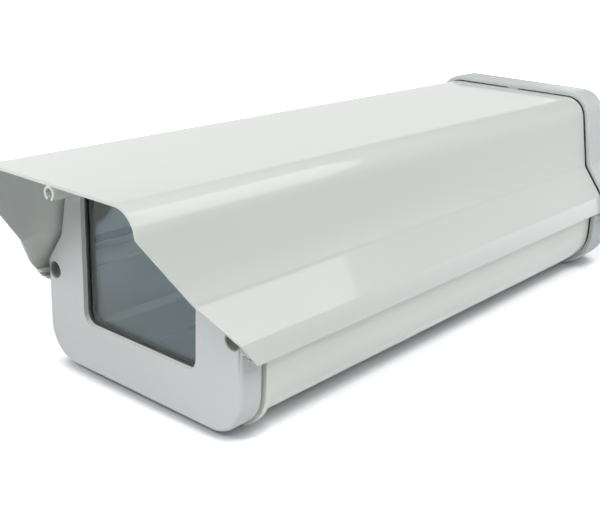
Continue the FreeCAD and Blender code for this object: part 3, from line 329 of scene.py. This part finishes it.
def makeToneDrift(look):
    # slow changes of tone and gloss over the surface
    number, color = "NodeSocketFloat", "NodeSocketColor"
    group, given, out = newGroup(
        "toneDrift",
        [("Color", color, (0.8, 0.8, 0.8, 1)), ("Scale", number, 12), ("Amount", number, 0.01),
         ("Roughness", number, 0.4), ("Spread", number, 0.05)],
        [("Color", color), ("Roughness", number)])
    link = group.links.new
    place = addNode(group, "TexCoord")
    tone, gloss = addNoise(group, *look["toneNoise"]), addNoise(group, *look["glossNoise"])
    finer = addMath(group, "MULTIPLY", look["glossScale"])
    for noise in (tone, gloss):
        link(place.outputs["Object"], noise.inputs["Vector"])
    link(given.outputs["Scale"], tone.inputs["Scale"])
    link(given.outputs["Scale"], finer.inputs[0])
    link(finer.outputs[0], gloss.inputs["Scale"])
    # the colour is scaled by 1 + (noise - 0.5) * swing * Amount
    toneShift, reach = addMath(group, "SUBTRACT", 0.5), addMath(group, "MULTIPLY", look["swing"])
    scaled, tinted = addMath(group, "MULTIPLY_ADD", third=1.0), addNode(group, "VectorMath", operation="SCALE")
    link(tone.outputs["Fac"], toneShift.inputs[0])
    link(given.outputs["Amount"], reach.inputs[0])
    link(toneShift.outputs[0], scaled.inputs[0])
    link(reach.outputs[0], scaled.inputs[1])
    link(given.outputs["Color"], tinted.inputs[0])
    link(scaled.outputs[0], tinted.inputs["Scale"])
    link(tinted.outputs[0], out.inputs["Color"])
    # the roughness is moved by (noise - 0.5) * Spread
    glossShift, rough = addMath(group, "SUBTRACT", 0.5), addMath(group, "MULTIPLY_ADD")
    link(gloss.outputs["Fac"], glossShift.inputs[0])
    link(glossShift.outputs[0], rough.inputs[0])
    link(given.outputs["Spread"], rough.inputs[1])
    link(given.outputs["Roughness"], rough.inputs[2])
    link(rough.outputs[0], out.inputs["Roughness"])
    return group


def makeFineGrain(look):
    # orange peel of a powder coat, or the grain of a moulding; Depth is in millimetres
    number, vector = "NodeSocketFloat", "NodeSocketVector"
    group, given, out = newGroup(
        "fineGrain",
        [("Scale", number, 600), ("Depth", number, 0.01), ("Stretch", vector, (1, 1, 1))],
        [("Normal", vector)])
    link = group.links.new
    place, stretched = addNode(group, "TexCoord"), addNode(group, "VectorMath", operation="MULTIPLY")
    noise = addNoise(group, *look["noise"])
    depth, bump = addMath(group, "MULTIPLY", mm), addNode(group, "Bump")
    setSockets(bump, {"Strength": 1.0})
    link(place.outputs["Object"], stretched.inputs[0])
    link(given.outputs["Stretch"], stretched.inputs[1])
    link(stretched.outputs[0], noise.inputs["Vector"])
    link(given.outputs["Scale"], noise.inputs["Scale"])
    link(noise.outputs["Fac"], bump.inputs["Height"])
    link(given.outputs["Depth"], depth.inputs[0])
    link(depth.outputs[0], bump.inputs["Distance"])
    link(bump.outputs[0], out.inputs["Normal"])
    return group


# each finish: colour, roughness and its spread, slow tone changes, fine grain and its depth in millimetres
finishes = {
    "cover_paint": {"color": (0.80, 0.84, 0.80), "rough": 0.42, "spread": 0.06, "toneScale": 9, "tone": 0.006,
                    "grain": 420, "depth": 0.0012, "coat": 1.0, "coatRough": 0.06, "specular": 0.2},
    # body_paint is cover_paint made warmer and lighter: the warmth is its own tone, the extra lightness is painted
    # light for the brighter upright side of the body
    "body_paint": {"color": (0.90, 0.92, 0.845), "rough": 0.42, "spread": 0.06, "toneScale": 9, "tone": 0.006,
                   "grain": 420, "depth": 0.0012, "coat": 1.0, "coatRough": 0.06, "specular": 0.2},
    "bezel_plastic": {"color": (0.81, 0.84, 0.833), "rough": 0.46, "spread": 0.08, "toneScale": 16, "tone": 0.005,
                      "grain": 1900, "depth": 0.008},
    "cap_plastic": {"color": (0.70, 0.74, 0.742), "rough": 0.42, "spread": 0.08, "toneScale": 16, "tone": 0.005,
                    "grain": 1900, "depth": 0.007},
    "gasket_rubber": {"color": (0.074, 0.078, 0.075), "rough": 0.62, "spread": 0.2, "toneScale": 60, "tone": 0.05,
                      "grain": 2600, "depth": 0.02},
    "grey_rubber": {"color": (0.36, 0.345, 0.32), "rough": 0.6, "spread": 0.2, "toneScale": 60, "tone": 0.03,
                    "grain": 2600, "depth": 0.02},
    "tray_metal": {"color": (0.76, 0.77, 0.78), "rough": 0.36, "spread": 0.16, "toneScale": 22, "tone": 0.02,
                   "metal": 1.0, "grain": 900, "depth": 0.003, "stretch": (9, 0.25, 9)},
    "plate_metal": {"color": (0.60, 0.61, 0.62), "rough": 0.4, "spread": 0.25, "toneScale": 45, "tone": 0.05,
                    "metal": 1.0, "grain": 1200, "depth": 0.006},
    "screw_steel": {"color": (0.66, 0.67, 0.68), "rough": 0.3, "spread": 0.25, "toneScale": 160, "tone": 0.05,
                    "metal": 1.0, "grain": 3200, "depth": 0.004},
    "gland_plastic": {"color": (0.40, 0.42, 0.43), "rough": 0.45, "spread": 0.12, "toneScale": 40, "tone": 0.02,
                      "grain": 2200, "depth": 0.012},
    "spacer_brass": {"color": (0.78, 0.60, 0.30), "rough": 0.3, "spread": 0.2, "toneScale": 120, "tone": 0.04,
                     "metal": 1.0, "grain": 2600, "depth": 0.004, "stretch": (0.3, 0.3, 8)},
    "board_laminate": {"color": (0.02, 0.13, 0.06), "rough": 0.34, "spread": 0.08, "toneScale": 70, "tone": 0.06,
                       "grain": 1500, "depth": 0.006, "coat": 0.4, "coatRough": 0.15},
    "terminal_plastic": {"color": (0.05, 0.17, 0.32), "rough": 0.42, "spread": 0.1, "toneScale": 60, "tone": 0.03,
                         "grain": 2400, "depth": 0.008},
    "riser_plastic": {"color": (0.035, 0.035, 0.038), "rough": 0.5, "spread": 0.12, "toneScale": 50, "tone": 0.05,
                      "grain": 2400, "depth": 0.012},
}


def addGroup(tree, name, values):
    node = addNode(tree, "Group", node_tree=groups[name])
    setSockets(node, values)
    return node


def makeFinish(name, look):
    material = bpy.data.materials.new(name)
    material.use_nodes = True
    tree = material.node_tree
    shader = tree.nodes["Principled BSDF"]
    tone = addGroup(tree, "toneDrift", {
        "Color": (*look["color"], 1), "Scale": look["toneScale"], "Amount": look["tone"],
        "Roughness": look["rough"], "Spread": look["spread"]})
    grain = addGroup(tree, "fineGrain", {
        "Scale": look["grain"], "Depth": look["depth"], "Stretch": look.get("stretch", (1, 1, 1))})
    setSockets(shader, {
        "Metallic": look.get("metal", 0.0), "Specular IOR Level": look.get("specular", 0.5),
        "Coat Weight": look.get("coat", 0.0), "Coat Roughness": look.get("coatRough", 0.03)})
    tree.links.new(tone.outputs["Color"], shader.inputs["Base Color"])
    tree.links.new(tone.outputs["Roughness"], shader.inputs["Roughness"])
    tree.links.new(grain.outputs["Normal"], shader.inputs["Normal"])
    return material


glassLook = {
    # painted shade: the glass's grey-brown colour darkens the view of the inside
    "color": (0.72, 0.70, 0.66), "mirrorTint": (0.40, 0.69, 0.82), "shadow": (0.97, 0.98, 0.98),
    "ior": 1.62, "rough": 0.0, "transmission": 0.98,
}


def makeGlass(look):
    # shadow rays pass straight through, so that light reaches the inside
    material = bpy.data.materials.new("window_glass")
    material.use_nodes = True
    tree = material.node_tree
    shader = tree.nodes["Principled BSDF"]
    setSockets(shader, {
        "Base Color": (*look["color"], 1), "Roughness": look["rough"], "IOR": look["ior"],
        "Specular Tint": (*look["mirrorTint"], 1), "Transmission Weight": look["transmission"]})
    clear, mix = addNode(tree, "BsdfTransparent"), addNode(tree, "MixShader")
    setSockets(clear, {"Color": (*look["shadow"], 1)})
    tree.links.new(rayMask(tree, ("Is Shadow Ray",)), mix.inputs[0])
    tree.links.new(shader.outputs[0], mix.inputs[1])
    tree.links.new(clear.outputs[0], mix.inputs[2])
    tree.links.new(mix.outputs[0], tree.nodes["Material Output"].inputs["Surface"])
    return material


# turned parts: a profile of (radius, height) points in millimetres, spun round an axis
def facingPlace(place, facing):
    # the local Z axis looks along the facing, with its zero at the place
    return Matrix.Translation(place) @ Vector(facing).to_track_quat("Z", "Y").to_matrix().to_4x4()


def alongAxis(place, length):
    return place.to_3x3() @ Vector((0, 0, length))


def profileEdges(bm, place, corners, closed):
    verts = [bm.verts.new(place @ (Vector((radius, 0, height)) * mm)) for radius, height in corners]
    edges = [bm.edges.new(pair) for pair in zip(verts, verts[1:])]
    if closed:
        edges.append(bm.edges.new((verts[-1], verts[0])))
    return verts, edges


def spinProfile(bm, place, corners, segments, closed=False):
    verts, edges = profileEdges(bm, place, corners, closed)
    bmesh.ops.spin(bm, geom=verts + edges, cent=place.translation, axis=alongAxis(place, 1),
                   angle=2 * math.pi, steps=segments, use_merge=True)
    bmesh.ops.remove_doubles(bm, verts=bm.verts, dist=0.0005 * mm)


def roundedRim(radius, flat, top, drop, steps=5):
    # quarter of an ellipse from a flat top's rim down to the full radius
    turns = [math.pi / 2 * k / steps for k in range(steps + 1)]
    return [(flat + (radius - flat) * math.sin(turn), top - drop * (1 - math.cos(turn))) for turn in turns]


threadLook = {"depth": 0.55, "foot": 0.42, "sunk": 0.1, "segments": 20}     # shares of the pitch, steps in a turn


def coreRadius(crest, pitch):
    return crest - threadLook["depth"] * pitch


def addThread(bm, place, crest, start, end, pitch):
    # triangular ridge wound from the start down to the end, its foot sunk a little into the core
    foot = crest - (threadLook["depth"] + threadLook["sunk"]) * pitch
    half = threadLook["foot"] * pitch
    middle = start - half
    turns = (start - end - 2 * half) / pitch
    steps = max(int(turns * threadLook["segments"]), 1)
    verts, edges = profileEdges(bm, place, [(foot, middle + half), (crest, middle), (foot, middle - half)], True)
    wound = bmesh.ops.spin(bm, geom=verts + edges, cent=place.translation, axis=alongAxis(place, 1),
                           dvec=alongAxis(place, -turns * pitch / steps * mm), angle=2 * math.pi * turns, steps=steps)
    last = [part for part in wound["geom_last"] if isinstance(part, bmesh.types.BMVert)]
    bm.faces.new(verts)
    bm.faces.new(last)


def cutFlats(bm, place, acrossFlats):
    # six flats, each cut off by a plane and closed again; what is narrower stays round
    for side in range(6):
        out = Vector((math.cos(side * math.pi / 3), math.sin(side * math.pi / 3), 0))
        cut = bmesh.ops.bisect_plane(bm, geom=bm.verts[:] + bm.edges[:] + bm.faces[:], dist=0.0001 * mm,
                                     plane_co=place @ (out * acrossFlats / 2 * mm), plane_no=place.to_3x3() @ out,
                                     clear_outer=True)
        bmesh.ops.holes_fill(bm, edges=[part for part in cut["geom_cut"] if isinstance(part, bmesh.types.BMEdge)])


def hexCorner(acrossFlats):
    # radius of a hexagon's corners
    return acrossFlats / 2 / math.cos(math.pi / 6)


recesses = {   # shares of the head's radius: an arm's reach and half width; and how far it narrows at its floor
    "cross": {"arm": 0.62, "half": 0.13, "arms": 4, "floor": 0.45},
    "slot": {"arm": 0.92, "half": 0.14, "arms": 2, "floor": 0.96},
}


def addRecess(bm, place, kind, radius, depth):
    # the recess's outline, pushed down to its floor, then the head's flat top between outline and rim
    look = recesses[kind]
    corners = [(look["arm"], -look["half"]), (look["arm"], look["half"])]
    if look["arms"] == 4:
        corners.append((look["half"], look["half"]))        # the inner corner between two arms of a cross
    outline = []
    for arm in range(look["arms"]):
        turn = Matrix.Rotation(2 * math.pi * arm / look["arms"], 3, "Z")
        outline += [bm.verts.new(place @ (turn @ Vector((x, y, 0)) * radius * mm)) for x, y in corners]
    pushed = bmesh.ops.extrude_discrete_faces(bm, faces=[bm.faces.new(outline)])["faces"][0]
    bmesh.ops.translate(bm, verts=pushed.verts, vec=alongAxis(place, -depth * mm))
    bmesh.ops.scale(bm, verts=pushed.verts, vec=[look["floor"]] * 3,
                    space=Matrix.Translation(-pushed.calc_center_median()))
    bmesh.ops.triangle_fill(bm, edges=[edge for edge in bm.edges if edge.is_boundary], use_beauty=True)


groups = {"toneDrift": makeToneDrift(driftLook), "fineGrain": makeFineGrain(grainLook)}
materials = {name: makeFinish(name, look) for name, look in finishes.items()}
materials["window_glass"] = makeGlass(glassLook)
makeSky(studio)
for name, look in lamps.items():
    makeLamp(name, look)
makeTable(studio)
print("camera, studio and", len(materials), "materials ready")

# extrusions, mouldings and seals: the solids' own shapes with smooth arcs and soft edges
softEdges = {   # node: edge width in millimetres
    "cover": 0.3, "lower_body": 0.3, "side_seal_left": 0.25, "side_seal_right": 0.25,
    "front_frame": 0.9, "front_gasket": 0.35, "front_bezel": 0.6, "rear_gasket": 0.3, "rear_cap": 0.35,
    "window_gasket": 0.5, "window_glass": 0.2, "window_retainer": 0.2, "bezel_screw_washers": 0.12,
    "bezel_screw_sleeves": 0.08,
    "camera_tray": 0.5, "camera_riser": 0.3, "camera_screw_washer": 0.12, "bracket_plate": 0.3,
    "wiring_board": 0.12, "board_spacers": 0.15, "terminal_block": 0.25,
    "cable_gland_body": 0.3, "cable_gland_seal": 0.3, "cable_gland_washer": 0.2, "cable_gland_locknut": 0.3,
    "blanking_plug_washer": 0.2, "blanking_plug_locknut": 0.3,
}
otherSlots = {"bezel_screw_sleeves": "grey_rubber"}     # pieces dressed in another slot than the record's
for node, width in softEdges.items():
    dressCopy(node, width, otherSlots.get(node))
print(len(softEdges), "pieces dressed")

# millimetres: where the head faces, its height, radius of the shank, bare length under the head, thread pitch
screwLooks = {
    "bezel_screws": {"facing": (0, -1, 0), "head": 2.6, "shank": 2.0, "bare": 8.0, "pitch": 0.7, "recess": "cross"},
    "rear_cap_screws": {"facing": (0, 1, 0), "head": 2.6, "shank": 2.0, "bare": 9.0, "pitch": 0.7, "recess": "cross"},
    "front_frame_screws": {"facing": (0, -1, 0), "head": 2.0, "shank": 2.0, "bare": 0.4, "pitch": 0.7,
                           "recess": "cross", "flat": True},
    "bracket_plate_screws": {"facing": (0, 0, -1), "head": 2.0, "shank": 2.0, "bare": 0.4, "pitch": 0.7,
                             "recess": "cross", "flat": True},
    "tray_screws": {"facing": (0, 1, 0), "head": 1.5, "shank": 1.5, "bare": 0.5, "pitch": 0.5, "recess": "cross"},
    "retainer_screws": {"facing": (0, 1, 0), "head": 1.1, "shank": 1.1, "bare": 0.4, "pitch": 0.45, "recess": "cross"},
    "board_screws": {"facing": (0, 0, 1), "head": 1.5, "shank": 1.5, "bare": 0.5, "pitch": 0.5, "recess": "cross"},
    "terminal_screws": {"facing": (0, 0, 1), "head": 1.0, "shank": 1.5, "bare": 0.4, "pitch": 0.5, "recess": "slot"},
}
screwShape = {
    "top": 0.72, "under": 0.98, "flatTop": 0.93, "recessWide": 0.5,     # shares of the head's radius
    "drop": 0.55, "side": 0.94, "recessDeep": 0.55,                     # shares of the head's height
    "flatRim": (0.15, 0.3), "runOut": 0.2, "tip": 0.3, "segments": 28,  # millimetres, steps round
}


def addScrew(bm, low, high, look, shape):
    facing = Vector(look["facing"])
    axis = [abs(part) for part in facing].index(1)
    length = (high[axis] - low[axis]) / mm
    radius = min((high[k] - low[k]) / mm for k in range(3) if k != axis) / 2
    place = facingPlace((low + high) / 2 + facing * length * mm / 2, facing)
    shank, head, pitch = look["shank"], look["head"], look["pitch"]
    if look.get("flat"):
        corners = [(radius * shape["flatTop"], 0)] + [(radius, -height) for height in shape["flatRim"]]
    else:
        corners = roundedRim(radius, radius * shape["top"], 0, head * shape["drop"])
        corners += [(radius, -head * shape["side"]), (radius * shape["under"], -head)]
    start, end, core = -head - look["bare"], -length + shape["tip"], coreRadius(shank, pitch)
    corners += [(shank, -head), (shank, start), (core, start - shape["runOut"]), (core, end),
                (core - shape["tip"], -length), (0, -length)]
    spinProfile(bm, place, corners, shape["segments"])
    addRecess(bm, place, look["recess"], radius, min(head * shape["recessDeep"], radius * shape["recessWide"]))
    addThread(bm, place, shank, start, end, pitch)


def addMesh(bm, part):
    # one finished bmesh into another
    mesh = bpy.data.meshes.new("part")
    part.to_mesh(mesh)
    part.free()
    bm.from_mesh(mesh)
    bpy.data.meshes.remove(mesh)


def finishTurned(bm, name, node):
    bmesh.ops.recalc_face_normals(bm, faces=bm.faces)
    fitOut(finishMesh(bm, name, smooth=surfaceLook["smoothAngle"]), node)


def makeScrews(node, look):
    bm = bmesh.new()
    for low, high in solidBoxes(node):
        screw = bmesh.new()
        addScrew(screw, low, high, look, screwShape)
        addMesh(bm, screw)
    finishTurned(bm, node + "Finished", node)


for node, look in screwLooks.items():
    makeScrews(node, look)
print(len(screwLooks), "sets of screws made")

# cable gland's dome nut and the blanking plug, in millimetres
glandNut = {
    "flats": 20.0, "hex": 8.5, "edge": 0.8, "edgeSlope": 0.6, "step": 0.3,      # hexagon and the step to the crown
    "crown": 9.7, "crownSide": 1.0, "lip": 1.3, "mouth": 4.2, "mouthEdge": 0.4,
    "room": 7.5, "roomDepth": 12.0, "roomSlope": 1.0, "rimSteps": 9, "segments": 72,
}
plugHead = {
    "flats": 20.0, "hex": 4.5, "edge": 0.5, "shoulder": 0.6,
    "crown": 9.6, "flatTop": 3.0, "dome": 1.8, "domeShare": 0.8,
    "thread": 8.0, "pitch": 1.5, "bare": 1.0, "runOut": 0.3, "tip": 0.3, "tipTaper": 0.4, "threadEnd": 0.2,
    "rimSteps": 6, "segments": 72,
}


def nodeAxis(node):
    # middle of a node's round section across the housing, with its front and rear ends
    low, high = (Vector(corner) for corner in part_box(node))
    middle = (low + high) / 2
    return middle, low.y, high.y


def makeGlandNut(look):
    middle, front, rear = nodeAxis("cable_gland_nut")
    length = (rear - front) / mm
    place = facingPlace(Vector((middle.x, front, middle.z)), (0, 1, 0))
    corner, edge, step = hexCorner(look["flats"]), look["edge"], look["step"]
    rim = roundedRim(look["crown"], look["mouth"] + look["lip"], length,
                     length - look["hex"] - look["crownSide"], look["rimSteps"])
    corners = [(look["room"], 0), (corner - edge, 0), (corner, edge * look["edgeSlope"]),
               (corner, look["hex"] - edge * look["edgeSlope"]),
               (look["crown"] + step, look["hex"]), (look["crown"], look["hex"] + step)]
    corners += rim[::-1]
    corners += [(look["mouth"] + look["mouthEdge"], length), (look["mouth"], length - look["mouthEdge"]),
                (look["mouth"], look["roomDepth"] + look["roomSlope"]), (look["room"], look["roomDepth"])]
    bm = bmesh.new()
    spinProfile(bm, place, corners, look["segments"], closed=True)
    cutFlats(bm, place, look["flats"])
    finishTurned(bm, "glandNut", "cable_gland_nut")


def makePlug(look):
    middle, front, rear = nodeAxis("blanking_plug")
    length = (rear - front) / mm
    place = facingPlace(Vector((middle.x, rear, middle.z)), (0, 1, 0))
    corner, edge = hexCorner(look["flats"]), look["edge"]
    seat = -(look["hex"] + look["dome"])
    thread, core, start = look["thread"], coreRadius(look["thread"], look["pitch"]), seat - look["bare"]
    corners = [(0, 0)]
    corners += roundedRim(look["crown"], look["flatTop"], 0, look["dome"] * look["domeShare"], look["rimSteps"])
    corners += [(corner - look["shoulder"], -look["dome"]), (corner, -look["dome"] - edge), (corner, seat + edge),
                (corner - edge, seat), (thread, seat), (thread, start), (core, start - look["runOut"]),
                (core, -length + look["tip"]), (core - look["tipTaper"], -length), (0, -length)]
    bm = bmesh.new()
    spinProfile(bm, place, corners, look["segments"])
    cutFlats(bm, place, look["flats"])
    addThread(bm, place, thread, start, -length + look["threadEnd"], look["pitch"])
    finishTurned(bm, "blankingPlug", "blanking_plug")


makeGlandNut(glandNut)
makePlug(plugHead)

# thumb screw under the tray, in millimetres: fluted knob, neck and threaded stud
thumbScrew = {
    "knob": 9.5, "knobHeight": 5.2, "edge": 0.6,
    "dish": 0.8, "dishFloor": 0.55, "dishRim": 0.72,        # its depth, then shares of the knob's radius
    "flutes": 12, "fluteDepth": 1.0, "fluteFrom": 0.8, "fluteCurve": 1.5,
    "neck": 2.4, "stud": 3.175, "studLength": 6.5, "pitch": 1.27, "tip": 0.3, "tipTaper": 0.5, "threadGap": 0.1,
    "segments": 144,
}


def pressFlutes(bm, place, look):
    # the knob's rim is drawn in round its sides
    for vert in bm.verts:
        spot = place.inverted() @ vert.co
        reach = math.hypot(spot.x, spot.y) / mm
        if reach > look["knob"] * look["fluteFrom"]:
            wave = max(math.cos(look["flutes"] * math.atan2(spot.y, spot.x)), 0)
            pull = look["fluteDepth"] * wave ** look["fluteCurve"]
            vert.co = place @ Vector((spot.x * (1 - pull / reach), spot.y * (1 - pull / reach), spot.z))


def makeThumbScrew(look):
    low, high = (Vector(corner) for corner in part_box("camera_screw"))
    length = (high.z - low.z) / mm
    place = Matrix.Translation(((low.x + high.x) / 2, (low.y + high.y) / 2, low.z))
    knob, edge, top, foot = look["knob"], look["edge"], look["knobHeight"], length - look["studLength"]
    core = coreRadius(look["stud"], look["pitch"])
    corners = [(0, look["dish"]), (knob * look["dishFloor"], look["dish"]), (knob * look["dishRim"], 0),
               (knob - edge, 0), (knob, edge), (knob, top - edge), (knob - edge, top),
               (look["neck"], top), (look["neck"], foot), (core, foot),
               (core, length - look["tip"]), (core - look["tipTaper"], length), (0, length)]
    bm = bmesh.new()
    spinProfile(bm, place, corners, look["segments"])
    pressFlutes(bm, place, look)
    addThread(bm, place, look["stud"], length - look["threadGap"], foot + look["threadGap"], look["pitch"])
    finishTurned(bm, "thumbScrew", "camera_screw")


makeThumbScrew(thumbScrew)
print("gland nut, plug and thumb screw made")
